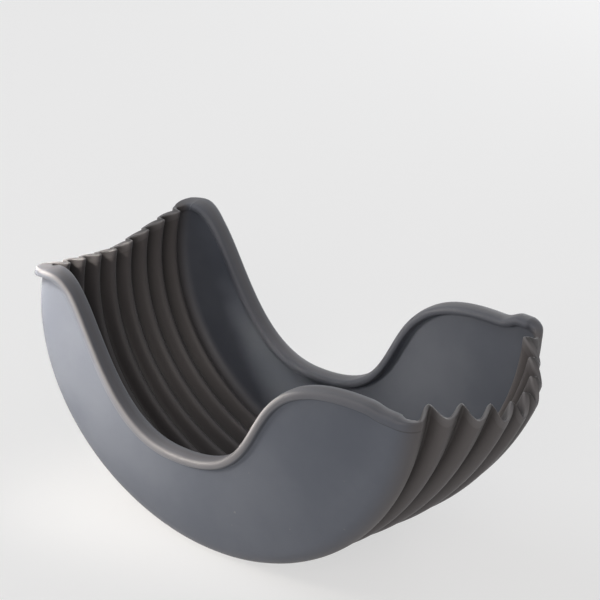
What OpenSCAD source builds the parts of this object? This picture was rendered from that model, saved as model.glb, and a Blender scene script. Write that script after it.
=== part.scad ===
// Burger holder, one elastic moulding. Two half-round plates with a wavy, beaded rim stand
// parallel to each other. A pleated band joins them: it runs from the right rim, under the
// bottom, to the left rim, and is open at the top.
// Frame: millimetres, +Z up, X along the plates, front plate toward -Y, origin on the table
// under the middle of the overall size.

/* [Plates] */
// Radius of the half-round plates at the band, to the middle of the skin
plate_radius = 60; // [52:1:72]
// Thickness of the two plates
plate_wall = 2; // [1.4:0.1:2.4]
// Radius of the bend between a plate and the band
corner_radius = 4; // [3.6:0.2:6]

/* [Wavy rim] */
// Distance from the middle to the tip of the horn, where the rim starts to fall
horn_reach = 49.5; // [42:0.5:50]
// Rise of the horn above the level of the shoulder
horn_rise = 1.4; // [0:0.2:4]
// Drop of the rim over the left bends, from the horn to the band
horn_drop = 1.8; // [0:0.2:3]
// Depth of the finger dip below the shoulder
dip_depth = 34.5; // [24:0.5:40]
// Sideways place of the lowest point of the dip
dip_at = -9; // [-14:1:0]
// Sideways place of the top of the shoulder beside the dip
shoulder_at = 47.5; // [38:0.5:48]
// Drop of the rim over the front right bend, from the shoulder to the band
end_drop = 2.1; // [0:0.1:3]
// Rise of the rim from the shoulder to the back bend
ear_rise = 3.6; // [0:0.2:5]
// Length of the curve handle at the horn, a longer one makes a rounder horn
horn_handle = 12; // [10:0.5:16]
// Length of the curve handle on the horn side of the dip
dip_handle_horn = 24; // [16:0.5:30]
// Length of the curve handle on the shoulder side of the dip
dip_handle_shoulder = 36; // [20:0.5:38]
// Length of the curve handle at the shoulder
shoulder_handle = 43.5; // [24:0.5:44]

/* [Lip bead] */
// Height of the strip below the rim that carries the bead
lip_strip = 3; // [2.4:0.2:4]
// How far the bead stands out in front of the plate
lip_out = 1.2; // [0.4:0.1:2]
// How far the bead stands out behind the plate
lip_in = 2; // [0.2:0.1:2.2]
// How far the bead stands out round the horn
horn_lip = 2.3; // [0.4:0.1:2.4]

/* [Pleats] */
// Number of pleats between the two bends
pleat_count = 8; // [5:1:8]
// Distance between the two bends, covered by the pleats
pleat_span = 49; // [44:1:58]
// Thickness of the pleated skin
pleat_wall = 1.2; // [0.9:0.1:1.4]
// Depth of a pleat from outer crest to inner fold
pleat_depth = 3.2; // [2.2:0.1:4]
// Outward swell of the middle pleats at the open right rim
rim_swell = 14.8; // [0:0.2:16]
// How far the left side is drawn in at its rim
left_tuck = 5; // [0:0.5:5]
// Drop of the middle pleats at the right rim
right_rim_drop = 6.2; // [0:0.1:9]
// Drop of the middle pleats at the left rim
left_rim_drop = 4.4; // [0:0.1:9]
// Rise of the middle inner folds above the crests beside them at the right rim
right_scallop = 5.2; // [0:0.1:5.6]
// Rise of each inner fold above the crests beside it at the left rim
left_scallop = 2; // [0:0.1:4.5]

/* [Hidden] */
// Steps of the mesh along the wave and the arc
shoulder_steps = 3;
s_curve_steps = 16;
horn_steps = 15;
cols = shoulder_steps + s_curve_steps + horn_steps;
// Steps of the mesh over a flat face, over a bend and over half a pleat
face_steps = 3;
bend_steps = 3;
half_steps = 3;
pleat_steps = 2 * half_steps * pleat_count;
bend_end = face_steps + bend_steps;
pleat_end = bend_end + pleat_steps;
rows = pleat_end + bend_end;

// Sizes that follow from the ones above
face_radius = plate_radius - corner_radius;
shoulder_end = face_radius - 2.5;
// Share of the ear's rise that the last pleat already has
ear_share = 0.4;
// Share of the end drop that the plate's rim already has before the bend
end_share = 0.1;
// Heights in the lip strip, as a share of it, and the bead's swell at each of them
lip_share = [0, 0.42, 0.6, 0.84, 1];
lip_swell = [0, 0.08, 0.85, 1, 0.65];
lip_rows = len(lip_share) - 1;

function mix(a, b, w) = a + (b - a) * w;
function unit(v) = v / max(norm(v), 1e-9);
function bezier(a, b, w) =
    let (
        p = [a[0] - a[2], a[1]],
        q = [b[0] + b[2], b[1]],
        from = [a[0], a[1]],
        to = [b[0], b[1]])
    from * pow(1 - w, 3) + p * 3 * w * pow(1 - w, 2) + q * 3 * w * w * (1 - w) + to * pow(w, 3);

// The wavy rim in the plane of a plate: sideways place, height, handle length. The rim is
// level at each of these points. It goes from the shoulder end (0) to the horn (3).
function rim_end(at_back) = at_back ? ear_rise : -end_share * end_drop;
function shoulder_top(at_back) = at_back ? ear_share * ear_rise : 0;
end_handle = 0.4 * (shoulder_end - shoulder_at);
function wave(c, at_back) =
    c <= shoulder_steps
    ? bezier([shoulder_end, rim_end(at_back), end_handle],
        [shoulder_at, shoulder_top(at_back), end_handle], c / shoulder_steps)
    : c <= shoulder_steps + s_curve_steps
    ? bezier([shoulder_at, shoulder_top(at_back), shoulder_handle],
        [dip_at, -dip_depth, dip_handle_shoulder], (c - shoulder_steps) / s_curve_steps)
    : bezier([dip_at, -dip_depth, dip_handle_horn],
        [-horn_reach, horn_rise, horn_handle],
        (c - shoulder_steps - s_curve_steps) / horn_steps);
// Direction in the plate that points away from the rim, into the plate
function wave_inward(c, at_back) =
    let (w = wave(min(c + 0.02, cols), at_back) - wave(max(c - 0.02, 0), at_back))
    unit([-w[1], w[0]]);

// Rows are counted from the front plate to the back plate. near counts from the nearer one.
function near(r) = min(r, rows - r);
function at_back(r) = r > rows / 2;
// Share of the way over the pleats, from 0 at the front bend to 1 at the back bend
function pleat_share(r) = (r - bend_end) / pleat_steps;
function bend_angle(r) = 90 * (max(near(r), face_steps) - face_steps) / bend_steps;
// 1 on an outer crest, 0 in an inner fold
function crest(s) = pow(abs(cos(180 * pleat_count * s)), 0.85);
// 1 at a bend, falling to 0 two pleats away from it
function fade(s) = pow(max(0, 1 - pleat_count * s / 2), 2);

// The band without its pleats, as radius and depth, at arc angle t: 0 is the right rim, 90 the
// bottom, 180 the left rim. Its swell peaks a little behind the middle.
function tuck(t) = t > 90 ? left_tuck * pow(1 - sin(t), 2.3) : 0;
function band_place(s, t) =
    let (
        within = max(0, min(1, s)),
        swell = t < 90 ? rim_swell * pow(1 - sin(t), 1.5) : 0,
        bulge = pow(max(0, sin(180 * pow(within, 1.05))), 1.25))
    [plate_radius + swell * bulge - tuck(t), pleat_span * (s - 0.5)];
// Pleats fold inward at right angles to the swollen band
function pleat_place(s, t) =
    let (along = unit(band_place(s + 0.01, t) - band_place(s - 0.01, t)))
    band_place(s, t) - pleat_depth * (1 - crest(s)) * [along[1], -along[0]];

// Radius and depth of a row that is past the front face, at arc angle t
function row_place(r, t) =
    near(r) <= bend_end
    ? [face_radius + corner_radius * sin(bend_angle(r)) - tuck(t),
        (at_back(r) ? 1 : -1) * (pleat_span / 2 + corner_radius * cos(bend_angle(r)))]
    : pleat_place(pleat_share(r), t);

// Height of the rim above the shoulder's level at the right and the left end of a row
function pleat_rim(s, drop, scallop) =
    scallop * (0.4 + 0.6 * sin(180 * s * s)) * (1 - crest(s))
    - drop * (1 - pow(abs(2 * s - 1), 1.3));
function right_rim(r) =
    let (s = pleat_share(r))
    near(r) > bend_end
    ? pleat_rim(s, right_rim_drop, right_scallop) - end_drop * fade(s)
        + ear_share * ear_rise * fade(1 - s)
    : at_back(r) ? ear_rise * mix(1, ear_share, bend_angle(r) / 90)
    : -end_drop * mix(end_share, 1, bend_angle(r) / 90);
function left_rim(r) =
    let (s = pleat_share(r))
    near(r) > bend_end
    ? pleat_rim(s, left_rim_drop, left_scallop)
        + (horn_rise - horn_drop) * (fade(s) + fade(1 - s))
    : horn_rise - horn_drop * bend_angle(r) / 90;

// Arc angle of column c on a row, with the ends of the row a distance d below the rim
function arc_angle(r, c, d) =
    mix(asin((d - right_rim(r)) / row_place(r, 0)[0]),
        180 - asin((d - left_rim(r)) / row_place(r, 180)[0]), c / cols);
function band_point(r, c, d) =
    let (t = arc_angle(r, c, d), place = row_place(r, t))
    [place[0] * cos(t), place[1], -place[0] * sin(t)];

// Flat face: straight lines from the strip below the wavy rim to the start of the bend
function face_point(r, c, d) =
    let (
        w = wave(c, at_back(r)) + wave_inward(c, at_back(r)) * d,
        rim = [w[0], row_place(r, 90)[1], w[1]],
        foot = band_point(at_back(r) ? rows - face_steps : face_steps, c, d))
    mix(rim, foot, near(r) / face_steps);

// Middle of the skin
function middle(r, c, d) = near(r) < face_steps ? face_point(r, c, d) : band_point(r, c, d);

// Direction across the skin, out of the holder, in the plane of one arc angle: first along the
// radius, then along the depth. It is longer in a fold, so that the skin keeps its thickness.
function pleat_across(r, t) =
    let (
        here = row_place(r, t),
        before = unit(here - row_place(r - 1, t)),
        after = unit(row_place(r + 1, t) - here),
        mean = (before + after) / 2)
    [mean[1], -mean[0]] / max(pow(norm(mean), 2), 0.62 * norm(mean));
function across(r, c, d) =
    let (
        t = arc_angle(r, c, d),
        side = at_back(r) ? 1 : -1,
        n = near(r) <= bend_end ? [sin(bend_angle(r)), side * cos(bend_angle(r))]
            : pleat_across(r, t))
    near(r) < face_steps ? [0, side, 0] : [n[0] * cos(t), n[1], -n[0] * sin(t)];
function wall_at(r) =
    near(r) <= bend_end ? mix(plate_wall, pleat_wall, sin(bend_angle(r))) : pleat_wall;

// How far the bead stands out at the rim, on the outside and on the inside
function bead_out(r, c) =
    near(r) >= bend_end ? 0
    : near(r) >= face_steps
    ? (c == 0 ? 0.3 * lip_out * (1 - sin(bend_angle(r)))
        : horn_lip * min(1, 1.6 * (1 - bend_angle(r) / 90)))
    : c < 6 ? lip_out * mix(0.3, 1, c / 6)
    : c > cols - 3 ? mix(lip_out, horn_lip, (c - cols + 3) / 3)
    : lip_out;
function bead_in(r) = near(r) >= bend_end ? 0 : lip_in * (1 - 0.75 * sin(bend_angle(r)));

// One point of the skin: side 1 is the outside, side -1 the inside. Level 0 is the foot of
// the lip strip, the last level is the rim.
function skin(r, c, level, side) =
    let (
        d = lip_strip * (1 - lip_share[level]),
        n = across(r, c, d),
        bead = lip_swell[level] * (side > 0 ? bead_out(r, c) : bead_in(r)))
    middle(r, c, d) + side * (n * wall_at(r) / 2 + unit(n) * bead);

// Once round the opening: front rim, left ends of the rows, back rim, right ends of the rows
loop = concat(
    [for (c = [0 : cols]) [0, c]],
    [for (r = [1 : rows]) [r, cols]],
    [for (c = [cols - 1 : -1 : 0]) [rows, c]],
    [for (r = [rows - 1 : -1 : 1]) [r, 0]]);
loop_size = len(loop);
patch_size = (rows + 1) * (cols + 1);

skin_points = concat(
    [for (side = [1, -1]) for (r = [0 : rows]) for (c = [0 : cols]) skin(r, c, 0, side)],
    [for (side = [1, -1]) for (k = [1 : lip_rows]) for (e = loop) skin(e[0], e[1], k, side)]);

function patch_index(s, r, c) = s * patch_size + r * (cols + 1) + c;
function strip_index(s, k, l) =
    let (m = l % loop_size)
    k == 0 ? patch_index(s, loop[m][0], loop[m][1])
    : 2 * patch_size + (s * lip_rows + k - 1) * loop_size + m;
// Two triangles between four points, turned over for the inside
function pair(a, b, d, e, s) = s == 0 ? [[a, d, b], [b, d, e]] : [[a, b, d], [b, e, d]];

skin_faces = concat(
    [for (s = [0, 1]) for (r = [0 : rows - 1]) for (c = [0 : cols - 1])
        each pair(patch_index(s, r, c), patch_index(s, r, c + 1),
            patch_index(s, r + 1, c), patch_index(s, r + 1, c + 1), s)],
    [for (s = [0, 1]) for (k = [0 : lip_rows - 1]) for (l = [0 : loop_size - 1])
        each pair(strip_index(s, k, l), strip_index(s, k, l + 1),
            strip_index(s, k + 1, l), strip_index(s, k + 1, l + 1), 1 - s)],
    [for (l = [0 : loop_size - 1])
        each pair(strip_index(0, lip_rows, l), strip_index(0, lip_rows, l + 1),
            strip_index(1, lip_rows, l), strip_index(1, lip_rows, l + 1), 1)]);

// The origin is under the middle of the overall size, at the height of the lowest point
x_list = [for (p = skin_points) p[0]];
z_list = [for (p = skin_points) p[2]];
shift = [-(max(x_list) + min(x_list)) / 2, 0, -min(z_list)];

// Half-round plates, bends, pleated band and rim bead in one closed skin
module burger_holder() {
    color([0.36, 0.39, 0.43])
        translate(shift)
            polyhedron(points = skin_points, faces = skin_faces, convexity = 12);
}

burger_holder();
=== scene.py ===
"""Burger holder, one elastic moulding: its skin, its rubber and the studio round it.

The plates, their bends and the beaded rim are built point by point. A Geometry Nodes tree
folds the band between them into pleats. Everything is in metres.
"""

import math

import bpy
from bpy.props import FloatProperty, FloatVectorProperty, IntProperty, PointerProperty
from mathutils import Matrix, Vector


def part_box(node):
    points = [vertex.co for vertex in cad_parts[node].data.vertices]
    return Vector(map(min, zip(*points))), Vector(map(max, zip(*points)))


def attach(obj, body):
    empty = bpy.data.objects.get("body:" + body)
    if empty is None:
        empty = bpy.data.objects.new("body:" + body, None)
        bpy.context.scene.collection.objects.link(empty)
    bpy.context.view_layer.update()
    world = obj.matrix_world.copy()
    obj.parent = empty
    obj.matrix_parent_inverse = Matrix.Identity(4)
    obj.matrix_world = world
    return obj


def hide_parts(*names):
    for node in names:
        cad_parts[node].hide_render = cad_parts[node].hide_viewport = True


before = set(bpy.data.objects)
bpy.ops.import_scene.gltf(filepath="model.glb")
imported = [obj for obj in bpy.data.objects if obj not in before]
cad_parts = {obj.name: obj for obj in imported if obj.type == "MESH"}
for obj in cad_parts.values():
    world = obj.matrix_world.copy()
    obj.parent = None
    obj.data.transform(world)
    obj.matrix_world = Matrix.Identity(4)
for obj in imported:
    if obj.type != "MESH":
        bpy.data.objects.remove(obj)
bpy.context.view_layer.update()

bl_info = {
    "name": "Burger holder",
    "version": (1, 0, 0),
    "blender": (4, 5, 0),
    "location": "3D View > Sidebar > Holder",
    "description": "Makes a pleated elastic holder with a wavy rim, and a plain studio for it",
    "category": "Add Mesh",
}

NODE = "burger_holder"
MM = 0.001


def length(name, description, millimetres):
    """A size in the panel, written in millimetres and kept in metres."""
    return FloatProperty(
        name=name, description=description, default=millimetres * MM, unit="LENGTH", precision=5
    )


def angle(name, description, degrees):
    """An angle in the panel, written in degrees and kept in radians."""
    return FloatProperty(
        name=name, description=description, default=math.radians(degrees), subtype="ANGLE"
    )


def number(name, description, value, unit="NONE"):
    """A plain number in the panel, or one with a unit of its own."""
    return FloatProperty(
        name=name, description=description, default=value, unit=unit, precision=4
    )


def colour(name, description, red, green, blue):
    """A colour in the panel."""
    return FloatVectorProperty(
        name=name,
        description=description,
        subtype="COLOR",
        size=3,
        min=0.0,
        max=1.0,
        default=(red, green, blue),
    )


class HolderShape(bpy.types.PropertyGroup):
    """Sizes of the moulding."""

    plate_radius: length("Plate radius", "Radius of the half-round plates at the band", 60)
    plate_wall: length("Plate wall", "Thickness of the two plates", 2)
    plate_bow: length("Plate bow", "How far the middle of a plate is pushed out", 0.5)
    corner_radius: length("Corner radius", "Bend between a plate and the band", 4)
    horn_reach: length("Horn reach", "Sideways place of the tip of the horn", 49.5)
    horn_rise: length("Horn rise", "Rise of the horn above the shoulder", 1.4)
    horn_drop: length("Horn drop", "Drop of the rim from the horn to the band", 1.8)
    dip_depth: length("Dip depth", "Depth of the finger dip below the shoulder", 34.5)
    dip_at: length("Dip place", "Sideways place of the lowest point of the dip", -9)
    shoulder_at: length("Shoulder place", "Sideways place of the top of the shoulder", 47.5)
    end_drop: length("End drop", "Drop of the rim over the front right bend", 2.1)
    ear_rise: length("Ear rise", "Rise of the rim from the shoulder to the back bend", 3.6)
    horn_handle: length("Horn handle", "Curve handle at the horn", 12)
    dip_handle_horn: length("Dip handle, horn side", "Dip's curve handle to the horn", 24)
    dip_handle_shoulder: length(
        "Dip handle, shoulder side", "Dip's curve handle to the shoulder", 36
    )
    shoulder_handle: length("Shoulder handle", "Curve handle at the shoulder", 43.5)
    lip_strip: length("Lip strip", "Height of the strip below the rim with the bead", 3)
    lip_out: length("Lip outside", "How far the bead stands out on the outside", 1.2)
    lip_in: length("Lip inside", "How far the bead stands out on the inside", 2)
    lip_round: length("Lip rounding", "Radius of the bead's edges", 1)
    lip_crown: length("Lip crown", "How much higher the middle of the rim's top is", 0.12)
    horn_lip: length("Horn lip", "How far the bead stands out round the horn", 2.3)
    pleat_count: IntProperty(
        name="Pleats", description="Number of pleats between the two bends", default=8, min=1
    )
    pleat_span: length("Pleat span", "Distance between the two bends", 49)
    pleat_wall: length("Pleat wall", "Thickness of the pleated skin", 1.2)
    pleat_depth: length("Pleat depth", "From outer crest to inner fold", 3.2)
    rim_swell: length("Rim swell", "Outward swell of the pleats at the right rim", 14.8)
    left_tuck: length("Left tuck", "How far the left side is drawn in at its rim", 5)
    right_rim_drop: length("Right rim drop", "Drop of the middle pleats at the right rim", 6.2)
    left_rim_drop: length("Left rim drop", "Drop of the middle pleats at the left rim", 4.4)
    right_scallop: length("Right scallop", "Rise of the inner folds at the right rim", 5.2)
    left_scallop: length("Left scallop", "Rise of the inner folds at the left rim", 2)
    pleat_wander: length("Pleat wander", "How far a stretched pleat strays from its line", 0.22)
    seed: IntProperty(name="Seed", description="Changes how the pleats stray", default=4)


class HolderFinish(bpy.types.PropertyGroup):
    """Colours of the rubber and fineness of its surface."""

    rubber: colour("Rubber", "Blue-grey of the moulding", 0.094, 0.107, 0.136)
    rubber_pale: colour("Pale rubber", "Where the surface is bloomed", 0.116, 0.130, 0.160)
    # Paler rim: partly rubbed, partly a painted highlight on the bead and the pleats' rim top
    wear_and_highlight: colour("Worn rim", "Paler tone along the edge of the rim", 0.205, 0.203, 0.214)
    # Painted warm reflection and shade: a warmer, darker grey for the band, bends and bead
    band: colour("Band", "Warmer grey of the stretched band", 0.094, 0.088, 0.091)
    # Painted shade: the warm dark tone laid into the pleats' grooves and under the bead
    groove_shade: colour("Groove", "Warm dark tone in the pleats' grooves", 0.022, 0.019, 0.019)
    dust: colour("Dust", "Fine lint and dust that the rubber holds", 0.30, 0.29, 0.28)
    grain_scale: number("Grain", "Grains of the matt surface in a metre", 2600)
    grain_height: length("Grain height", "Height of the matt grain", 0.03)


class StudioLook(bpy.types.PropertyGroup):
    """Camera, floor and lamps."""

    azimuth: angle("Azimuth", "Camera to the right of the front", 36.92)
    elevation: angle("Elevation", "Camera above the horizon", 26.32)
    roll: angle("Roll", "Turn of the camera about its view", 3.05)
    distance: length("Distance", "Camera to the middle of the plates' axis", 596.9)
    axis: FloatVectorProperty(
        name="Axis",
        description="Middle of the plates' axis, set when the holder is made",
        subtype="TRANSLATION",
        default=(-0.008, 0, 0.0606),
    )
    focal_length: number("Focal length", "Lens, in millimetres", 144)
    shift_x: number("Shift sideways", "Lens shift as a share of the picture", 0.0324)
    shift_y: number("Shift upward", "Lens shift as a share of the picture", -0.0039)
    floor: colour("Floor", "Plain pale floor", 0.90, 0.90, 0.90)
    floor_glow: number("Floor glow", "Share of the floor's tone that lamps don't change", 0.60)
    key: number("Key lamp", "Small lamp close to the front plate", 0.023, "POWER")
    horn: number("Horn lamp", "Lamp above the horn", 0.0075, "POWER")
    side: number("Side lamp", "Narrow lamp from the left along the rim", 0.005, "POWER")
    top: number("Top lamp", "Broad lamp above on the left", 1.2, "POWER")
    fill: number("Fill lamp", "Broad warm lamp in front", 1.4, "POWER")
    back: number("Back lamp", "Broad lamp behind", 1.2, "POWER")
    room: number("Room", "Even light from all round", 0.25)


# How fast the swell of the right side and the tuck of the left side die out below the rim
RIGHT_POWER, LEFT_POWER = 1.5, 2.3

# What each point of the blank skin carries: for the making alone, and for the material
MAKING_VALUES = ("pleat_share", "arc_share", "below_rim", "skin_side", "wall_share", "in_pleats",
                 "outside", "crease_shade")
# rim: paler tone, rubbed and a painted highlight; band: painted warm reflection and shade
TONE_VALUES = ("rim", "band")


def mix(a, b, share):
    """The number at a share of the way from one to the other."""
    return a + (b - a) * share


def bezier(a, b, share):
    """Point on the curve between two level places, each (sideways, height, handle length)."""
    rest = 1 - share
    points = ((a[0], a[1]), (a[0] - a[2], a[1]), (b[0] + b[2], b[1]), (b[0], b[1]))
    weights = (rest**3, 3 * share * rest**2, 3 * share**2 * rest, share**3)
    return Vector([sum(w * p[i] for w, p in zip(weights, points)) for i in (0, 1)])


class Moulding:
    """Rule of the skin: the place of any point, from the sizes in the panel.

    Rows run from the front plate's rim (0) over the band to the back plate's rim. Columns run
    from the right end of the rim (0) to the left end. The plates' axis is the origin here.
    """

    # Share of the ear's rise that the shoulder and the last pleat keep, and share of the end
    # drop that comes before the bend
    EAR_SHARE, END_SHARE = 0.4, 0.4
    # Straight piece of the rim between the wavy line and the bend, and share of the line's
    # right end piece that each of its curve handles takes
    RIM_GAP, END_HANDLE = 2.5 * MM, 0.4
    # Columns of the three curves of the rim, and rows of a plate, a bend and half a pleat
    SHOULDER_STEPS, CURVE_STEPS, HORN_STEPS = 9, 48, 45
    FACE_STEPS, BEND_STEPS, HALF_STEPS = 6, 8, 8
    # Bow of a plate: height of its middle and reach, in radii, and how steeply it dies out
    BOW_MIDDLE, BOW_REACH, BOW_POWER = -0.45, 1.2, 1.5
    # Bead: share of its inside that is lost over a bend, share of its outside at the right
    # end, share of the rim on which it grows from there, start of its growth toward the horn,
    # and how late it runs out in the bend past the horn
    BEND_LOSS, END_BEAD, GROWTH, HORN_START, HORN_FADE = 0.75, 0.3, 0.18, 0.91, 1.6
    # Levels of the lip strip: its straight foot, the fillet into the bead, the rounded edge
    FOOT = (1.0, 0.92, 0.86)
    FILLET = ((0.82, 0.1), (0.77, 0.45), (0.71, 0.85), (0.65, 1.0))
    EDGE = (0, 22.5, 45, 67.5, 90)
    # Painted shade at the foot of the bead, by level
    CREASE_SHADE = {2: 0.3, 3: 0.6, 4: 0.4}
    # Paler tone of the bead by level, partly rubbed and partly a painted highlight: on its edge
    # all along, and on its flank beside the dip
    EDGE_WEAR_AND_HIGHLIGHT = {8: 0.5, 9: 1.0, 10: 0.6}
    FLANK_WEAR_AND_HIGHLIGHT = {5: 0.4, 6: 0.7, 7: 0.8, 8: 1.0, 9: 1.0, 10: 0.8, 11: 0.4}
    # Paler tone of the edge at the right end, place on the rim where it is full, and place where
    # the flank is palest; the tone is partly rubbed and partly a painted highlight
    END_WEAR, FULL_WEAR, FLANK_MIDDLE = 0.2, 0.35, 0.4
    # The rim of the pleats turns paler from this level up: rubbed, and a painted highlight on its
    # top
    RIBBON_LEVEL = 4
    # How much of the band's tone the flank and the top of the bead take; that tone is a painted
    # warm reflection and painted shade
    FLANK_TONE, TOP_TONE = 0.5, 0.7

    def __init__(self, size):
        self.size = size
        self.cols = self.SHOULDER_STEPS + self.CURVE_STEPS + self.HORN_STEPS
        self.bend_end = self.FACE_STEPS + self.BEND_STEPS
        self.pleat_steps = 2 * self.HALF_STEPS * size.pleat_count
        self.rows = self.pleat_steps + 2 * self.bend_end
        self.face_radius = size.plate_radius - size.corner_radius
        self.shoulder_end = self.face_radius - self.RIM_GAP
        self.levels = len(self.FOOT) + len(self.FILLET) + len(self.EDGE) + 1

    def near(self, row):
        """Rows from the nearer rim."""
        return min(row, self.rows - row)

    def at_back(self, row):
        return row > self.rows / 2

    def side(self, row):
        """Sign of the depth."""
        return 1 if self.at_back(row) else -1

    def in_pleats(self, row):
        return self.near(row) > self.bend_end

    def pleat_share(self, row):
        return (row - self.bend_end) / self.pleat_steps

    def bend_angle(self, row):
        """0 on a plate and a right angle on the band."""
        past_face = max(self.near(row), self.FACE_STEPS) - self.FACE_STEPS
        return math.pi / 2 * min(1, past_face / self.BEND_STEPS)

    def wave(self, col, at_back):
        """The wavy rim in the plane of a plate."""
        z = self.size
        end = z.ear_rise if at_back else -self.END_SHARE * z.end_drop
        top = self.EAR_SHARE * z.ear_rise if at_back else 0
        handle = self.END_HANDLE * (self.shoulder_end - z.shoulder_at)
        if col <= self.SHOULDER_STEPS:
            return bezier(
                (self.shoulder_end, end, handle),
                (z.shoulder_at, top, handle),
                col / self.SHOULDER_STEPS,
            )
        if col <= self.SHOULDER_STEPS + self.CURVE_STEPS:
            return bezier(
                (z.shoulder_at, top, z.shoulder_handle),
                (z.dip_at, -z.dip_depth, z.dip_handle_shoulder),
                (col - self.SHOULDER_STEPS) / self.CURVE_STEPS,
            )
        return bezier(
            (z.dip_at, -z.dip_depth, z.dip_handle_horn),
            (-z.horn_reach, z.horn_rise, z.horn_handle),
            (col - self.SHOULDER_STEPS - self.CURVE_STEPS) / self.HORN_STEPS,
        )

    def wave_inward(self, col, at_back):
        """Direction in the plate that points away from the rim."""
        step = 0.06
        along = self.wave(min(col + step, self.cols), at_back)
        along -= self.wave(max(col - step, 0), at_back)
        return Vector((-along.y, along.x)).normalized()

    def radius(self, row, turn):
        """Radius of a row in a bend, or of the band without its pleats, at an arc angle."""
        z = self.size
        opened = 1 - math.sin(turn)
        tuck = z.left_tuck * opened**LEFT_POWER if turn > math.pi / 2 else 0
        return self.face_radius + z.corner_radius * math.sin(self.bend_angle(row)) - tuck

    def depth(self, row):
        """Place from front to back."""
        z = self.size
        if self.in_pleats(row):
            return z.pleat_span * (self.pleat_share(row) - 0.5)
        bend = z.corner_radius * math.cos(self.bend_angle(row))
        return self.side(row) * (z.pleat_span / 2 + bend)

    def right_rim(self, row):
        """Height of the right end of the rim, above the plates' axis."""
        z, bend = self.size, self.bend_angle(row) / (math.pi / 2)
        if self.at_back(row):
            return z.ear_rise * mix(1, self.EAR_SHARE, bend)
        return -z.end_drop * mix(self.END_SHARE, 1, bend)

    def left_rim(self, row):
        """Height of the left end of the rim."""
        z = self.size
        return z.horn_rise - z.horn_drop * self.bend_angle(row) / (math.pi / 2)

    def arc_angle(self, row, col, below):
        """Angle round the plates' axis, from the right end under the bottom to the left."""
        start = math.asin((below - self.right_rim(row)) / self.radius(row, 0))
        end = math.pi - math.asin((below - self.left_rim(row)) / self.radius(row, math.pi))
        return mix(start, end, col / self.cols)

    def band_point(self, row, col, below):
        """On a bend, or on the band without its pleats."""
        turn = self.arc_angle(row, col, below)
        radius = self.radius(row, turn)
        return Vector((radius * math.cos(turn), self.depth(row), -radius * math.sin(turn)))

    def face_point(self, row, col, below):
        """On a plate: straight lines from the wavy rim to the start of the bend."""
        z = self.size
        back = self.at_back(row)
        rim = self.wave(col, back) + self.wave_inward(col, back) * below
        foot_row = self.rows - self.FACE_STEPS if back else self.FACE_STEPS
        foot = self.band_point(foot_row, col, below)
        share = self.near(row) / self.FACE_STEPS
        point = Vector((rim.x, self.depth(row), rim.y)).lerp(foot, share)
        sideways = point.x / self.face_radius
        upward = point.z / self.face_radius - self.BOW_MIDDLE
        flat = max(0, 1 - (sideways**2 + upward**2) / self.BOW_REACH)
        point.y += self.side(row) * z.plate_bow * flat**self.BOW_POWER
        return point

    def middle(self, row, col, below):
        """Point halfway through the skin."""
        if self.near(row) < self.FACE_STEPS:
            return self.face_point(row, col, below)
        return self.band_point(row, col, below)

    def outward(self, row, col, below):
        """Direction across the skin, out of the holder."""
        if self.near(row) < self.FACE_STEPS:
            return Vector((0, self.side(row), 0))
        turn = self.arc_angle(row, col, below)
        bend = self.bend_angle(row)
        return Vector(
            (
                math.sin(bend) * math.cos(turn),
                self.side(row) * math.cos(bend),
                -math.sin(bend) * math.sin(turn),
            )
        )

    def half_wall(self, row):
        """Half of the skin's thickness."""
        z = self.size
        return mix(z.plate_wall, z.pleat_wall, math.sin(self.bend_angle(row))) / 2

    def bead(self, row, col, outside):
        """How far the bead stands out of the skin at the rim."""
        z = self.size
        bend = self.bend_angle(row)
        if self.near(row) >= self.bend_end:
            return 0
        if not outside:
            return z.lip_in * (1 - self.BEND_LOSS * math.sin(bend))
        if self.near(row) >= self.FACE_STEPS:
            if col == 0:
                return self.END_BEAD * z.lip_out * (1 - math.sin(bend))
            return z.horn_lip * min(1, self.HORN_FADE * (1 - bend / (math.pi / 2)))
        rise = col / (self.GROWTH * self.cols)
        horn = (col / self.cols - self.HORN_START) / (1 - self.HORN_START)
        if rise < 1:
            return z.lip_out * mix(self.END_BEAD, 1, rise)
        return mix(z.lip_out, z.horn_lip, max(0, horn))

    def lip(self, row, col, outside):
        """Levels of the lip strip: how far below the rim, and how far off the skin's middle."""
        z = self.size
        bend = math.sin(self.bend_angle(row))
        half = self.half_wall(row)
        bead = self.bead(row, col, outside)
        edge = mix(z.lip_round, z.pleat_wall / 4, bend)
        crown = z.lip_crown * (1 - bend)
        strip = [(share * z.lip_strip, half) for share in self.FOOT]
        strip += [(share * z.lip_strip, half + bead * rise) for share, rise in self.FILLET]
        for degrees in self.EDGE:
            turn = math.radians(degrees)
            below = crown + edge * (1 - math.sin(turn))
            strip.append((below, half + bead - edge * (1 - math.cos(turn))))
        return strip + [(0, 0)]

    def bead_wear_and_highlight(self, level, col):
        """How pale the front of the bead is, partly rubbed and partly a painted highlight: least
        at the right end, most beside the dip.
        """
        along = col / self.cols
        edge = min(1, mix(self.END_WEAR, 1, along / self.FULL_WEAR))
        away = min(1, abs(along - self.FLANK_MIDDLE) / self.FLANK_MIDDLE)
        flank = math.cos(math.pi / 2 * away)
        return max(
            edge * self.EDGE_WEAR_AND_HIGHLIGHT.get(level, 0), flank * self.FLANK_WEAR_AND_HIGHLIGHT.get(level, 0)
        )

    def ribbon(self, level):
        """How far up the ribbon along the pleats' rim a level lies; the ribbon is pale, partly
        rubbed and partly a painted highlight.
        """
        return max(0.0, (level - self.RIBBON_LEVEL) / (self.levels - 1 - self.RIBBON_LEVEL))

    def wear_and_highlight(self, level, row, col, outside):
        """Share of the paler tone, partly rubbed and partly a painted highlight, at a point of the
        lip strip.
        """
        if self.in_pleats(row):
            return self.ribbon(level)
        return self.bead_wear_and_highlight(level, col) if outside else 0.0

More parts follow.
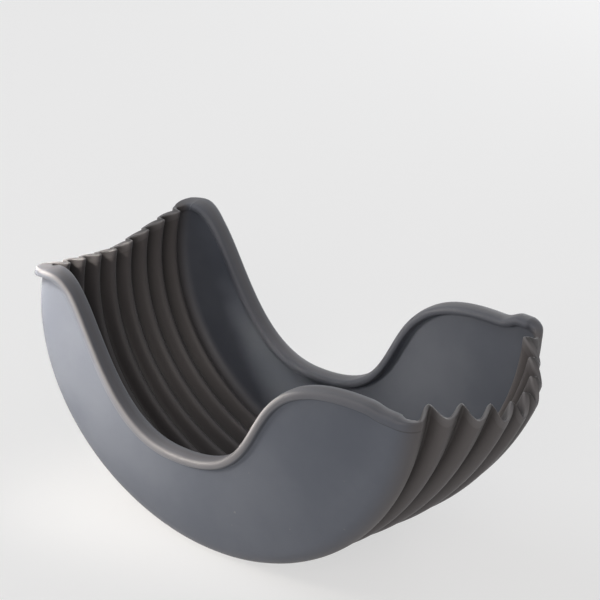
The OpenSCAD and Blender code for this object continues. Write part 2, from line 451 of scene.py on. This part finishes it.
    def rim_middle(self, row, col):
        """Offset of the line along the top of the rim, halfway between its two edges."""
        if self.in_pleats(row):
            return 0
        return (self.bead(row, col, True) - self.bead(row, col, False)) / 2

    def build(self):
        """Points, faces and named values of the whole skin, the band still without pleats."""
        rows, cols = self.rows, self.cols
        loop = [(0, c) for c in range(cols + 1)]
        loop += [(r, cols) for r in range(1, rows + 1)]
        loop += [(rows, c) for c in range(cols - 1, -1, -1)]
        loop += [(r, 0) for r in range(rows - 1, 0, -1)]
        points, faces = [], []
        values = {name: [] for name in MAKING_VALUES + TONE_VALUES}

        def add(row, col, below, offset, outside, rim, crease_shade=0.0, tone=0.0):
            """One point of the skin with its values, and its place in the list."""
            sign = 1 if outside else -1
            across = self.outward(row, col, below) * sign * offset
            points.append(self.middle(row, col, below) + across)
            values["pleat_share"].append(self.pleat_share(row))
            values["arc_share"].append(col / cols)
            values["below_rim"].append(below)
            values["skin_side"].append(sign)
            values["wall_share"].append(offset / self.half_wall(row))
            values["in_pleats"].append(1.0 if self.in_pleats(row) else 0.0)
            values["rim"].append(rim)
            values["outside"].append(1.0 if outside else 0.0)
            values["crease_shade"].append(0.0 if self.in_pleats(row) else crease_shade)
            # Painted warm reflection and shade on the bends and the band
            values["band"].append(max(tone, math.sin(self.bend_angle(row)) ** 2))
            return len(points) - 1

        patch, strips = {}, {}
        for outside in (True, False):
            for r in range(rows + 1):
                for c in range(cols + 1):
                    half = self.half_wall(r)
                    patch[outside, r, c] = add(r, c, self.size.lip_strip, half, outside, 0.0)
            rings = [[patch[outside, r, c] for r, c in loop]]
            lips = [self.lip(r, c, outside) for r, c in loop]
            for level in range(1, self.levels - 1):
                # Painted shade at the foot of the bead, on the outside only
                crease_shade = self.CREASE_SHADE.get(level, 0.0) if outside else 0.0
                # The bead's flank takes part of the band's painted warm reflection and shade
                tone = self.FLANK_TONE * self.ribbon(level)
                rings.append(
                    [
                        add(r, c, *lip[level], outside, self.wear_and_highlight(level, r, c, outside),
                            crease_shade, tone)
                        for (r, c), lip in zip(loop, lips)
                    ]
                )
            strips[outside] = rings
        # One line along the top of the rim joins the two sides
        top = []
        for r, c in loop:
            # The pleats' rim top takes the full paler tone: rubbed, and a painted highlight
            wear_and_highlight = 1.0 if self.in_pleats(r) else 0.0
            # The plates' rim top takes the band's painted warm reflection and shade
            top.append(add(r, c, 0, self.rim_middle(r, c), True, wear_and_highlight, tone=self.TOP_TONE))
            values["wall_share"][-1] = 0
        for outside in (True, False):
            strips[outside].append(top)
            for r in range(rows):
                for c in range(cols):
                    a, b = patch[outside, r, c], patch[outside, r, c + 1]
                    d, e = patch[outside, r + 1, c], patch[outside, r + 1, c + 1]
                    faces.append((a, d, e, b) if outside else (a, b, e, d))
            for lower, upper in zip(strips[outside], strips[outside][1:]):
                for i in range(len(loop)):
                    j = (i + 1) % len(loop)
                    a, b, d, e = lower[i], lower[j], upper[i], upper[j]
                    faces.append((a, b, e, d) if outside else (a, d, e, b))
        return points, faces, values


class Value:
    """A number in a node tree. Sums on it add Math nodes to the tree."""

    # Room of a Math node in the editor, and how many stand in a column
    ROOM_X, ROOM_Y, IN_COLUMN = 180, 150, 14

    def __init__(self, tree, socket):
        self.tree = tree
        self.socket = socket

    def math(self, operation, *others):
        node = self.tree.nodes.new("ShaderNodeMath")
        node.operation = operation
        column, place = divmod(len(self.tree.nodes), self.IN_COLUMN)
        node.location = (self.ROOM_X * column, -self.ROOM_Y * place)
        for slot, item in zip(node.inputs, (self, *others)):
            if isinstance(item, Value):
                self.tree.links.new(item.socket, slot)
            else:
                slot.default_value = item
        return Value(self.tree, node.outputs[0])

    def __add__(self, other):
        return self.math("ADD", other)

    def __sub__(self, other):
        return self.math("SUBTRACT", other)

    def __mul__(self, other):
        return self.math("MULTIPLY", other)

    def __truediv__(self, other):
        return self.math("DIVIDE", other)

    def __pow__(self, other):
        return self.math("POWER", other)

    __radd__ = __add__
    __rmul__ = __mul__

    def __neg__(self):
        return self.math("MULTIPLY", -1.0)

    def less_from(self, whole):
        """The given number less this one."""
        return (-self) + whole


def new_tree(name, inputs, outputs):
    """A geometry tree with named float inputs, and a Value for each."""
    tree = bpy.data.node_groups.new(name, "GeometryNodeTree")
    for item in outputs:
        kind = "NodeSocketGeometry" if item == "Geometry" else "NodeSocketFloat"
        tree.interface.new_socket(name=item, in_out="OUTPUT", socket_type=kind)
    for item, kind in inputs:
        tree.interface.new_socket(name=item, in_out="INPUT", socket_type=kind)
    entry = tree.nodes.new("NodeGroupInput")
    entry.location = (-400, 0)
    leave = tree.nodes.new("NodeGroupOutput")
    leave.location = (6000, 0)
    values = {item: Value(tree, entry.outputs[item]) for item, _ in inputs}
    return tree, values, leave


def soft_crest(share, count, softness):
    """1 on an outer crest and 0 in an inner fold, whose tip is rounded by the softness."""
    power = 0.425
    wave = (share * count * math.pi).math("COSINE")
    lift = softness**2
    low, high = lift**power, (1 + lift) ** power
    return ((wave * wave + lift) ** power - low) * (1 / (high - low))


def band_frame_tree():
    """Place and direction of the band without its pleats, at a share of the way over it."""
    names = ("Share", "Right opening", "Left opening", "Plate radius", "Rim swell", "Left tuck",
             "Pleat span")
    outputs = ["Radius", "Outward", "Along", "Stretch"]
    tree, v, leave = new_tree("Band frame", [(n, "NodeSocketFloat") for n in names], outputs)
    # The swell is a little fuller toward the back, and runs into the bends without a corner
    skew, soft_end = 1.05, 1.25

    def radius_at(share):
        within = share.math("MAXIMUM", 0.0).math("MINIMUM", 1.0)
        bulge = ((within**skew) * math.pi).math("SINE").math("MAXIMUM", 0.0) ** soft_end
        return (
            v["Plate radius"]
            + v["Rim swell"] * v["Right opening"] * bulge
            - v["Left tuck"] * v["Left opening"]
        )

    step = 0.01
    out = radius_at(v["Share"] + step) - radius_at(v["Share"] - step)
    along = v["Pleat span"] * (2 * step)
    size = (out * out + along * along).math("SQRT")
    results = (radius_at(v["Share"]), along / size, -(out / size), size / along)
    for name, result in zip(outputs, results):
        tree.links.new(result.socket, leave.inputs[name])
    return tree


def fold_tree():
    """How far a pleat lies inside the band, for the middle of the skin."""
    names = ("Share", "Pleats", "Pleat depth")
    tree, v, leave = new_tree("Fold", [(n, "NodeSocketFloat") for n in names], ["Fold"])
    within = v["Share"].math("MAXIMUM", 0.0).math("MINIMUM", 1.0)
    fold = v["Pleat depth"] * soft_crest(within, v["Pleats"], softness=0.3).less_from(1.0)
    tree.links.new(fold.socket, leave.inputs["Fold"])
    return tree


def pleat_tree():
    """Folds the band of a blank skin into pleats, with a wall of even thickness."""
    numbers = ("Plate radius", "Pleat depth", "Rim swell", "Left tuck", "Pleat span",
               "Pleat wall", "Right rim drop", "Left rim drop", "Right scallop",
               "Left scallop", "Right front rise", "Right back rise", "Left end rise",
               "Pleat wander", "Pleats", "Seed")
    inputs = [("Geometry", "NodeSocketGeometry"), ("Material", "NodeSocketMaterial")]
    inputs += [(n, "NodeSocketFloat") for n in numbers]
    tree, v, leave = new_tree("Pleated band", inputs, ["Geometry"])
    nodes, links = tree.nodes, tree.links

    def attribute(name):
        node = nodes.new("GeometryNodeInputNamedAttribute")
        node.data_type = "FLOAT"
        node.inputs["Name"].default_value = name
        return Value(tree, next(s for s in node.outputs if s.enabled and s.name == "Attribute"))

    def group(kind, shared, **own):
        node = nodes.new("GeometryNodeGroup")
        node.node_tree = kind
        for name in shared:
            links.new(v[name].socket, node.inputs[name])
        for name, item in own.items():
            slot = node.inputs[name.replace("_", " ")]
            if isinstance(item, Value):
                links.new(item.socket, slot)
            else:
                slot.default_value = item
        return {s.name: Value(tree, s) for s in node.outputs}

    share, arc = attribute("pleat_share"), attribute("arc_share")
    below, side = attribute("below_rim"), attribute("skin_side")
    wall_share, chosen = attribute("wall_share"), attribute("in_pleats")
    frame_group, fold_group = band_frame_tree(), fold_tree()

    def band(right, left):
        shared = ("Plate radius", "Rim swell", "Left tuck", "Pleat span")
        return group(frame_group, shared, Share=share, Right_opening=right, Left_opening=left)

    def folded(at):
        return group(fold_group, ("Pleats", "Pleat depth"), Share=at)["Fold"]

    # Each pleat strays a little from its line, as a stretched one does
    across_pleat, along_arc = 0.7, 3.0
    place = nodes.new("ShaderNodeCombineXYZ")
    links.new((share * v["Pleats"] * across_pleat).socket, place.inputs["X"])
    links.new((arc * along_arc).socket, place.inputs["Y"])
    noise = nodes.new("ShaderNodeTexNoise")
    noise.noise_dimensions = "4D"
    noise.inputs["Scale"].default_value = 1.0
    noise.inputs["Detail"].default_value = 1.0
    links.new(place.outputs["Vector"], noise.inputs["Vector"])
    links.new(v["Seed"].socket, noise.inputs["W"])
    bulge = (share * math.pi).math("SINE").math("MAXIMUM", 0.0)
    stray = (Value(tree, noise.outputs[0]) - 0.5) * 2.0 * bulge * v["Pleat wander"]

    # Height of the rim at the right and the left end of a row: it sags in the middle, and the
    # scallops are highest behind the middle
    sag_power, least_scallop, faded_pleats = 1.3, 0.4, 2
    fold = soft_crest(share, v["Pleats"], softness=0.4).less_from(1.0)
    sag = (((share * 2.0 - 1.0).math("ABSOLUTE")) ** sag_power).less_from(1.0)
    skewed = (share * share * math.pi).math("SINE").math("MAXIMUM", 0.0)
    scallop = (skewed * (1 - least_scallop) + least_scallop) * fold

    def fade(at):
        """1 at a bend, falling to 0 two pleats away."""
        near_end = (at * v["Pleats"] * (1 / faded_pleats)).less_from(1.0)
        return near_end.math("MAXIMUM", 0.0) ** 2.0

    front, back = fade(share), fade(share.less_from(1.0))
    right_rim = v["Right scallop"] * scallop - v["Right rim drop"] * sag
    right_rim = right_rim + v["Right front rise"] * front + v["Right back rise"] * back + stray
    left_rim = v["Left scallop"] * scallop - v["Left rim drop"] * sag
    left_rim = left_rim + v["Left end rise"] * (front + back) + stray

    # Arc angle of the point, from the right rim under the bottom to the left rim
    middle_fold = folded(share)
    right_end, left_end = band(1.0, 0.0), band(0.0, 1.0)
    right_radius = right_end["Radius"] - middle_fold * right_end["Outward"]
    left_radius = left_end["Radius"] - middle_fold * left_end["Outward"]
    start = ((below - right_rim) / right_radius).math("ARCSINE")
    end = ((below - left_rim) / left_radius).math("ARCSINE").less_from(math.pi)
    turn = start + (end - start) * arc
    opened = turn.math("SINE").less_from(1.0).math("MAXIMUM", 0.0)
    is_left = turn.math("GREATER_THAN", math.pi / 2)
    is_right = is_left.less_from(1.0)
    frame_here = band((opened**RIGHT_POWER) * is_right, (opened**LEFT_POWER) * is_left)

    # The skin is as far off the band as a ball of the wall's thickness reaches when its middle
    # rolls along the fold, so the wall stays even and the grooves close to a crease
    half = v["Pleat wall"] * 0.5 * wall_share
    reach = None
    for degrees in (-67.5, -45, -22.5, 0, 22.5, 45, 67.5):
        tilt = math.radians(degrees)
        moved = (half * math.sin(tilt) + stray) / (v["Pleat span"] * frame_here["Stretch"])
        height = half * math.cos(tilt) - folded(share + moved) * side
        reach = height if reach is None else reach.math("MAXIMUM", height)
    offset = reach * side
    radius = frame_here["Radius"] + offset * frame_here["Outward"]
    depth = v["Pleat span"] * (share - 0.5) + offset * frame_here["Along"]

    point = nodes.new("ShaderNodeCombineXYZ")
    links.new((radius * turn.math("COSINE")).socket, point.inputs["X"])
    links.new(depth.socket, point.inputs["Y"])
    links.new((-(radius * turn.math("SINE"))).socket, point.inputs["Z"])
    move = nodes.new("GeometryNodeSetPosition")
    links.new(v["Geometry"].socket, move.inputs["Geometry"])
    links.new(chosen.math("GREATER_THAN", 0.5).socket, move.inputs["Selection"])
    links.new(point.outputs["Vector"], move.inputs["Position"])
    realize = nodes.new("GeometryNodeRealizeInstances")
    links.new(move.outputs["Geometry"], realize.inputs["Geometry"])
    paint = nodes.new("GeometryNodeSetMaterial")
    links.new(realize.outputs["Geometry"], paint.inputs["Geometry"])
    links.new(v["Material"].socket, paint.inputs["Material"])
    links.new(paint.outputs["Geometry"], leave.inputs["Geometry"])
    return tree


def linked(nodes, links, kind, place, inputs=None, **settings):
    """A shader node with its settings, its inputs being sockets or plain values."""
    node = nodes.new(kind)
    node.location = place
    for name, value in settings.items():
        setattr(node, name, value)
    for name, value in (inputs or {}).items():
        if isinstance(value, bpy.types.NodeSocket):
            links.new(value, node.inputs[name])
        else:
            node.inputs[name].default_value = value
    return node


def seen_straight(nodes, links, x, y):
    """1 on what the camera sees straight, mirrored or through a thing, 0 on light that falls."""
    path = linked(nodes, links, "ShaderNodeLightPath", (x, y))
    mirrored = linked(
        nodes, links, "ShaderNodeMath", (x + 200, y),
        {0: path.outputs["Is Camera Ray"], 1: path.outputs["Is Glossy Ray"]},
        operation="MAXIMUM",
    )
    through = linked(
        nodes, links, "ShaderNodeMath", (x + 400, y),
        {0: mirrored.outputs[0], 1: path.outputs["Is Transmission Ray"]}, operation="MAXIMUM",
    )
    return through.outputs[0]


def rubber_material(look):
    """Matt elastic rubber: bloom, fine grain, painted shade in the grooves, painted warm
    reflection on the band, a paler rim partly rubbed and partly a painted highlight, a little
    dust.
    """
    material = bpy.data.materials.new("Matt rubber")
    material.use_nodes = True
    nodes, links = material.node_tree.nodes, material.node_tree.links
    nodes.clear()

    def node(kind, at, inputs=None, **settings):
        return linked(nodes, links, kind, at, inputs, **settings)

    place = node("ShaderNodeTexCoord", (-1500, 0)).outputs["Object"]

    def value_of(name, at):
        """A value that each point of the skin carries."""
        return node("ShaderNodeAttribute", at, attribute_name=name).outputs["Fac"]

    def noise(at, scale, detail, roughness=0.5):
        sizes = {"Vector": place, "Scale": scale, "Detail": detail, "Roughness": roughness}
        return node("ShaderNodeTexNoise", at, sizes).outputs["Fac"]

    def ramp(at, share, low, high):
        """0 below the low share and 1 above the high one, with a soft rise between them."""
        rise = node("ShaderNodeValToRGB", at, {"Fac": share})
        rise.color_ramp.interpolation = "EASE"
        rise.color_ramp.elements[0].position = low
        rise.color_ramp.elements[1].position = high
        return rise.outputs["Color"]

    def product(at, first, second):
        return node("ShaderNodeMath", at, {0: first, 1: second}, operation="MULTIPLY").outputs[0]

    def cover(at, share, under, over):
        """The colour under, covered by the colour over as far as the share says."""
        colours = {0: share, 6: under, 7: (*over, 1)}
        return node("ShaderNodeMix", at, colours, data_type="RGBA").outputs[2]

    # How much of its own tone the paler rim (rubbed, and a painted highlight), the grooves'
    # painted shade and a grain of dust show
    rim_wear_highlight_share, groove_shade_share, dust_share = 0.85, 0.9, 0.5
    rim = value_of("rim", (-1500, -500))
    cloud = noise((-1200, 300), 38.0, 5.0, 0.55)
    bloom = ramp((-1000, 300), cloud, 0.36, 0.68)
    tone = cover((-700, 300), bloom, (*look.rubber, 1), look.rubber_pale)
    # Painted warm reflection and shade of the band
    tone = cover((-500, 300), value_of("band", (-1500, -100)), tone, look.band)
    # The paler rim: partly rubbed, partly a painted highlight
    tone = cover((-400, 450), product((-700, 80), rim, rim_wear_highlight_share), tone, look.wear_and_highlight)
    # Painted shade in the grooves and under the bead
    groove_shade = product((-700, -100), value_of("groove_shade", (-1500, -300)), groove_shade_share)
    tone = cover((-300, 300), groove_shade, tone, look.groove_shade)
    specks = ramp((-1000, -700), noise((-1200, -700), 620.0, 2.0, 0.6), 0.72, 0.80)
    patches = ramp((-1000, -950), noise((-1200, -950), 22.0, 1.0), 0.45, 0.7)
    dust = product((-500, -800), product((-700, -800), specks, patches), dust_share)
    tone = cover((-100, 300), dust, tone, look.dust)

    # The paler rim, rubbed and with a painted highlight, is a little smoother than the rest
    smoother = -0.06
    rough = node(
        "ShaderNodeMapRange", (-300, -200),
        {"Value": cloud, "From Min": 0.3, "From Max": 0.7, "To Min": 0.46, "To Max": 0.58},
    )
    polished = node(
        "ShaderNodeMath", (-100, -200), {0: rim, 1: smoother, 2: rough.outputs["Result"]},
        operation="MULTIPLY_ADD",
    )

    ripple_height = 0.4 * MM
    grain = node(
        "ShaderNodeBump", (-300, -1100),
        {"Height": noise((-1200, -1250), look.grain_scale, 3.0, 0.6), "Strength": 0.35,
         "Distance": look.grain_height},
    )
    ripple = node(
        "ShaderNodeBump", (-100, -1100),
        {"Height": noise((-1200, -1500), 85.0, 2.0), "Strength": 0.25,
         "Distance": ripple_height, "Normal": grain.outputs["Normal"]},
    )
    shader = node(
        "ShaderNodeBsdfPrincipled", (200, 200),
        {"Base Color": tone, "Roughness": polished.outputs[0],
         "Normal": ripple.outputs["Normal"], "Specular IOR Level": 0.35,
         "Sheen Weight": 0.04, "Sheen Roughness": 0.5},
    )
    node("ShaderNodeOutputMaterial", (500, 200), {"Surface": shader.outputs["BSDF"]})
    return material


class HOLDER_OT_skin(bpy.types.Operator):
    """Makes the moulding: plates, bends, beaded rim and pleated band in one closed skin"""

    bl_idname = "holder.skin"
    bl_label = "Make the holder"

    def execute(self, context):
        size, look = context.scene.holder_shape, context.scene.holder_finish
        points, faces, values = Moulding(size).build()
        mesh = bpy.data.meshes.new("holder_blank")
        mesh.from_pydata(points, [], faces)
        for name, numbers in values.items():
            layer = mesh.attributes.new(name, "FLOAT", "POINT")
            layer.data.foreach_set("value", numbers)
        blank = bpy.data.objects.new("holder_blank", mesh)
        context.scene.collection.objects.link(blank)

        tree = pleat_tree()
        modifier = blank.modifiers.new("Pleated band", "NODES")
        modifier.node_group = tree
        settings = {
            "Plate radius": size.plate_radius, "Pleat depth": size.pleat_depth,
            "Rim swell": size.rim_swell, "Left tuck": size.left_tuck,
            "Pleat span": size.pleat_span, "Pleat wall": size.pleat_wall,
            "Right rim drop": size.right_rim_drop, "Left rim drop": size.left_rim_drop,
            "Right scallop": size.right_scallop, "Left scallop": size.left_scallop,
            "Right front rise": -size.end_drop,
            "Right back rise": Moulding.EAR_SHARE * size.ear_rise,
            "Left end rise": size.horn_rise - size.horn_drop,
            "Pleat wander": size.pleat_wander,
            "Pleats": float(size.pleat_count), "Seed": float(size.seed),
            "Material": rubber_material(look),
        }
        sockets = {s.name: s.identifier for s in tree.interface.items_tree if s.in_out == "INPUT"}
        for name, value in settings.items():
            modifier[sockets[name]] = value
        graph = context.evaluated_depsgraph_get()
        skin = bpy.data.meshes.new_from_object(
            blank.evaluated_get(graph), preserve_all_data_layers=True, depsgraph=graph
        )
        blank.modifiers.remove(modifier)
        bpy.data.objects.remove(blank)

        def carried(name):
            numbers = [0.0] * len(skin.vertices)
            skin.attributes[name].data.foreach_get("value", numbers)
            return numbers

        # Painted shade: under the bead it is the painted shade built with the skin, and in the
        # pleats it follows the fold, painted dark on the outside and on the inside
        groove_shade, share = carried("crease_shade"), carried("pleat_share")
        pleated, outside = carried("in_pleats"), carried("outside")
        for i in range(len(groove_shade)):
            if pleated[i] > 0.5:
                crest = abs(math.cos(math.pi * size.pleat_count * share[i]))
                groove_shade[i] = 1 - crest if outside[i] > 0.5 else crest**3
        layer = skin.attributes.new("groove_shade", "FLOAT", "POINT")
        layer.data.foreach_set("value", groove_shade)
        for name in MAKING_VALUES:
            skin.attributes.remove(skin.attributes[name])

        low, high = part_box(NODE)
        places = [v.co for v in skin.vertices]
        middle = (max(p.x for p in places) + min(p.x for p in places)) / 2
        floor = min(p.z for p in places)
        shift = Vector(((low[0] + high[0]) / 2 - middle, 0, low[2] - floor))
        skin.transform(Matrix.Translation(shift))
        context.scene.holder_studio.axis = shift
        skin.shade_smooth()
        skin.name = "holder_skin"
        holder = bpy.data.objects.new("holder_skin", skin)
        context.scene.collection.objects.link(holder)
        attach(holder, "root")
        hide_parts(NODE)
        return {"FINISHED"}


def floor_material(look):
    """Pale and matt, and partly of one even tone that no lamp changes."""
    material = bpy.data.materials.new("Pale floor")
    material.use_nodes = True
    nodes, links = material.node_tree.nodes, material.node_tree.links
    nodes.clear()
    second_tone, glow_strength = 0.99, 0.99
    place = linked(nodes, links, "ShaderNodeTexCoord", (-700, 0)).outputs["Object"]
    noise = linked(nodes, links, "ShaderNodeTexNoise", (-500, 0), {"Vector": place, "Scale": 3.0})
    tone = linked(
        nodes, links, "ShaderNodeMix", (-250, 0),
        {0: noise.outputs["Fac"], 6: (*look.floor, 1),
         7: (*[part * second_tone for part in look.floor], 1)},
        data_type="RGBA",
    )
    matt = linked(
        nodes, links, "ShaderNodeBsdfPrincipled", (0, 0),
        {"Base Color": tone.outputs[2], "Roughness": 0.9, "Specular IOR Level": 0.1},
    )
    glow = linked(
        nodes, links, "ShaderNodeEmission", (0, -400),
        {"Color": (1, 1, 1, 1), "Strength": glow_strength},
    )
    share = linked(
        nodes, links, "ShaderNodeMath", (100, 500),
        {0: seen_straight(nodes, links, -500, 500), 1: look.floor_glow}, operation="MULTIPLY",
    )
    both = linked(
        nodes, links, "ShaderNodeMixShader", (300, 0),
        {0: share.outputs[0], 1: matt.outputs["BSDF"], 2: glow.outputs["Emission"]},
    )
    linked(
        nodes, links, "ShaderNodeOutputMaterial", (500, 0), {"Surface": both.outputs["Shader"]}
    )
    return material


class HOLDER_OT_studio(bpy.types.Operator):
    """Sets the floor, the lamps, the room light and the camera"""

    bl_idname = "holder.studio"
    bl_label = "Set the studio"

    def execute(self, context):
        scene, look = context.scene, context.scene.holder_studio
        axis = Vector(look.axis)

        reach = 4.0
        mesh = bpy.data.meshes.new("studio_floor")
        corners = [(-reach, -reach, 0), (reach, -reach, 0), (reach, reach, 0), (-reach, reach, 0)]
        mesh.from_pydata(corners, [], [(0, 1, 2, 3)])
        mesh.materials.append(floor_material(look))
        floor = bpy.data.objects.new("studio_floor", mesh)
        scene.collection.objects.link(floor)

        # Places and aims of the lamps are measured from the middle of the plates' axis
        def lamp(name, power, at, size, tint, aim=(0, 0, 0), spread=180):
            data = bpy.data.lights.new(name, "AREA")
            data.shape = "RECTANGLE"
            data.size, data.size_y = size
            data.energy = power
            data.color = tint
            data.spread = math.radians(spread)
            lit = bpy.data.objects.new(name, data)
            lit.location = axis + Vector(at)
            beam = Vector(aim) - Vector(at)
            lit.rotation_euler = beam.to_track_quat("-Z", "Y").to_euler()
            lit.visible_camera = False
            scene.collection.objects.link(lit)

        cool, warm, warmer = (0.97, 0.98, 1.0), (1.0, 0.92, 0.82), (1.0, 0.90, 0.82)
        lamp("key_lamp", look.key, at=(-0.078, -0.088, 0.0), size=(0.03, 0.04), tint=warm,
             aim=(-0.032, -0.03, -0.022), spread=58)
        lamp("horn_lamp", look.horn, at=(-0.090, -0.070, 0.05), size=(0.015, 0.015), tint=warm,
             aim=(-0.063, -0.030, 0.004), spread=24)
        lamp("side_lamp", look.side, at=(-0.32, -0.050, 0.115), size=(0.006, 0.006), tint=warm,
             aim=(0.012, -0.0385, -0.013), spread=5)
        lamp("top_lamp", look.top, at=(-0.50, -0.15, 0.50), size=(0.5, 0.5), tint=cool)
        lamp("fill_lamp", look.fill, at=(0.30, -0.55, 0.26), size=(0.4, 0.4), tint=warmer)
        lamp("back_lamp", look.back, at=(-0.10, 0.62, 0.14), size=(0.4, 0.4), tint=cool)

        # The room looks white, and lights the holder less than it looks
        world = bpy.data.worlds.new("Studio room")
        world.use_nodes = True
        nodes, links = world.node_tree.nodes, world.node_tree.links
        nodes.clear()
        strength = linked(
            nodes, links, "ShaderNodeMapRange", (-250, 0),
            {"Value": seen_straight(nodes, links, -900, 0), "To Min": look.room, "To Max": 1.0},
        )
        sky = linked(
            nodes, links, "ShaderNodeBackground", (0, 0),
            {"Color": (1, 1, 1, 1), "Strength": strength.outputs["Result"]},
        )
        linked(
            nodes, links, "ShaderNodeOutputWorld", (200, 0), {"Surface": sky.outputs["Background"]}
        )
        scene.world = world

        data = bpy.data.cameras.new("photo_camera")
        data.lens, data.sensor_width = look.focal_length, 36.0
        data.shift_x, data.shift_y = look.shift_x, look.shift_y
        camera = bpy.data.objects.new("photo_camera", data)
        flat = math.cos(look.elevation)
        back = Vector(
            (
                math.sin(look.azimuth) * flat,
                -math.cos(look.azimuth) * flat,
                math.sin(look.elevation),
            )
        )
        camera.location = axis + back * look.distance
        turn = (-back).to_track_quat("-Z", "Y").to_matrix()
        camera.rotation_euler = (turn @ Matrix.Rotation(look.roll, 3, "Z")).to_euler()
        scene.collection.objects.link(camera)
        scene.camera = camera
        scene.view_settings.view_transform = "Standard"
        return {"FINISHED"}


class HOLDER_PT_panel(bpy.types.Panel):
    """Sizes, colours and buttons of the holder"""

    bl_idname = "HOLDER_PT_panel"
    bl_label = "Burger holder"
    bl_space_type = "VIEW_3D"
    bl_region_type = "UI"
    bl_category = "Holder"

    def draw(self, context):
        scene, layout = context.scene, self.layout
        for title, group in (
            ("Moulding", scene.holder_shape),
            ("Rubber", scene.holder_finish),
            ("Studio", scene.holder_studio),
        ):
            box = layout.box()
            box.label(text=title)
            for name in group.__annotations__:
                box.prop(group, name)
        layout.operator(HOLDER_OT_skin.bl_idname)
        layout.operator(HOLDER_OT_studio.bl_idname)


CLASSES = (
    HolderShape,
    HolderFinish,
    StudioLook,
    HOLDER_OT_skin,
    HOLDER_OT_studio,
    HOLDER_PT_panel,
)


def register():
    for item in CLASSES:
        bpy.utils.register_class(item)
    bpy.types.Scene.holder_shape = PointerProperty(type=HolderShape)
    bpy.types.Scene.holder_finish = PointerProperty(type=HolderFinish)
    bpy.types.Scene.holder_studio = PointerProperty(type=StudioLook)


def unregister():
    del bpy.types.Scene.holder_shape
    del bpy.types.Scene.holder_finish
    del bpy.types.Scene.holder_studio
    for item in reversed(CLASSES):
        bpy.utils.unregister_class(item)


def main():
    register()
    bpy.ops.holder.skin()
    bpy.ops.holder.studio()


if __name__ == "__main__":
    main()
